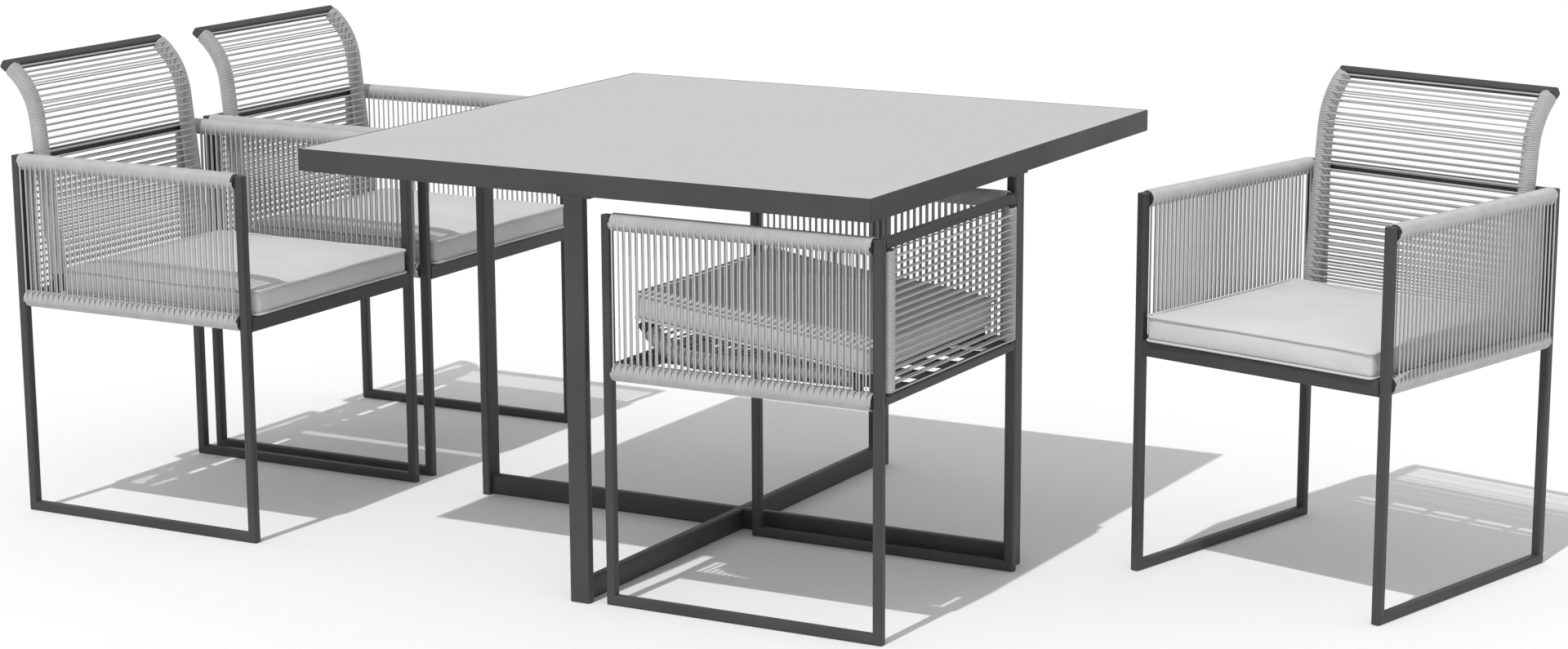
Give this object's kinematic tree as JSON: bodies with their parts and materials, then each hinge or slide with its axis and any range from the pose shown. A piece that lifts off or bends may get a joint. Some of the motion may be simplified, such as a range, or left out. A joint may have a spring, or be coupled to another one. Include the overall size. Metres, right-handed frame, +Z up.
{
  "type": "patio dining set",
  "caption": "Square glass-topped patio table on a floor cross, with corded cube armchairs whose backrests fold flat so they tuck under it.",
  "frame": {"origin": "on the floor, at the middle of the table's floor cross", "axes": "+Z up, +X along one side of the table, towards the side that the tucked chair backs onto, +Y along the other"},
  "size_m": [2.6332, 1.1539, 0.8284],
  "materials": {
    "frame": "satin powder coat",
    "cord": "smooth extruded cord",
    "cushion": "plain woven outdoor cloth",
    "panel": "light grey back-painted glass, satin"
  },
  "bodies": {
    "table": {"table_panel": "panel", "table_rim_front": "frame", "table_leg_front": "frame", "table_rim_right": "frame", "table_leg_right": "frame", "table_rim_back": "frame", "table_leg_back": "frame", "table_rim_left": "frame", "table_leg_left": "frame", "floor_beam_long": "frame", "floor_beam_front": "frame", "floor_beam_back": "frame"},
    "tucked_chair": {"tucked_side_frame_left": "frame", "tucked_arm_cord_left": "cord", "tucked_hinge_lug_left": "frame", "tucked_side_frame_right": "frame", "tucked_arm_cord_right": "cord", "tucked_hinge_lug_right": "frame", "tucked_seat_frame": "frame", "tucked_back_frame": "frame", "tucked_lower_back_cord": "cord"},
    "tucked_backrest": {"tucked_backrest_frame": "frame", "tucked_backrest_cord": "cord"},
    "tucked_cushion": {"tucked_cushion": "cushion"},
    "near_chair": {"near_side_frame_left": "frame", "near_arm_cord_left": "cord", "near_hinge_lug_left": "frame", "near_side_frame_right": "frame", "near_arm_cord_right": "cord", "near_hinge_lug_right": "frame", "near_seat_frame": "frame", "near_back_frame": "frame", "near_lower_back_cord": "cord"},
    "near_backrest": {"near_backrest_frame": "frame", "near_backrest_cord": "cord"},
    "near_cushion": {"near_cushion": "cushion"},
    "far_chair": {"far_side_frame_left": "frame", "far_arm_cord_left": "cord", "far_hinge_lug_left": "frame", "far_side_frame_right": "frame", "far_arm_cord_right": "cord", "far_hinge_lug_right": "frame", "far_seat_frame": "frame", "far_back_frame": "frame", "far_lower_back_cord": "cord"},
    "far_backrest": {"far_backrest_frame": "frame", "far_backrest_cord": "cord"},
    "far_cushion": {"far_cushion": "cushion"},
    "right_chair": {"right_side_frame_left": "frame", "right_arm_cord_left": "cord", "right_hinge_lug_left": "frame", "right_side_frame_right": "frame", "right_arm_cord_right": "cord", "right_hinge_lug_right": "frame", "right_seat_frame": "frame", "right_back_frame": "frame", "right_lower_back_cord": "cord"},
    "right_backrest": {"right_backrest_frame": "frame", "right_backrest_cord": "cord"},
    "right_cushion": {"right_cushion": "cushion"}
  },
  "joints": [
    {"name": "tucked_chair_slide", "type": "slide", "parent": "table", "child": "tucked_chair", "axis": [1, 0, 0], "range_m": [0, 0.45]},
    {"name": "tucked_backrest_fold", "type": "hinge", "parent": "tucked_chair", "child": "tucked_backrest", "pos_m": [0.5045, -0.283, 0.425], "axis": [0, 1, 0], "range_deg": [0, 20]},
    {"name": "tucked_cushion_shift", "type": "slide", "parent": "tucked_backrest", "child": "tucked_cushion", "axis": [0.9934, 0, -0.1149], "range_m": [-0.016, 0]},
    {"name": "near_chair_slide", "type": "slide", "parent": "table", "child": "near_chair", "axis": [-1, 0, 0], "range_m": [-0.12, 0.3]},
    {"name": "near_backrest_fold", "type": "hinge", "parent": "near_chair", "child": "near_backrest", "pos_m": [-1.169, -0.2475, 0.425], "axis": [0, 1, 0], "range_deg": [0, 96.2], "deforming": ["near_cushion"]},
    {"name": "near_cushion_lift", "type": "slide", "parent": "near_chair", "child": "near_cushion", "axis": [0, 0, 1], "range_m": [0, 0.2]},
    {"name": "far_chair_slide", "type": "slide", "parent": "table", "child": "far_chair", "axis": [-1, 0, 0], "range_m": [-0.12, 0.3]},
    {"name": "far_backrest_fold", "type": "hinge", "parent": "far_chair", "child": "far_backrest", "pos_m": [-1.169, 0.305, 0.425], "axis": [0, 1, 0], "range_deg": [0, 96.2], "deforming": ["far_cushion"]},
    {"name": "far_cushion_lift", "type": "slide", "parent": "far_chair", "child": "far_cushion", "axis": [0, 0, 1], "range_m": [0, 0.2]},
    {"name": "right_chair_slide", "type": "slide", "parent": "table", "child": "right_chair", "axis": [0.2419, 0.9703, 0], "range_m": [0, 0.35]},
    {"name": "right_backrest_fold", "type": "hinge", "parent": "right_chair", "child": "right_backrest", "pos_m": [1.09588, 0.45056, 0.425], "axis": [0.9703, -0.2419, 0], "range_deg": [0, 96.2], "deforming": ["right_cushion"]},
    {"name": "right_cushion_lift", "type": "slide", "parent": "right_chair", "child": "right_cushion", "axis": [0, 0, 1], "range_m": [0, 0.2]}
  ],
  "couplings": [
    {"joint": "tucked_cushion_shift", "follows": "tucked_backrest_fold", "m_per_rad": -0.042972}
  ]
}
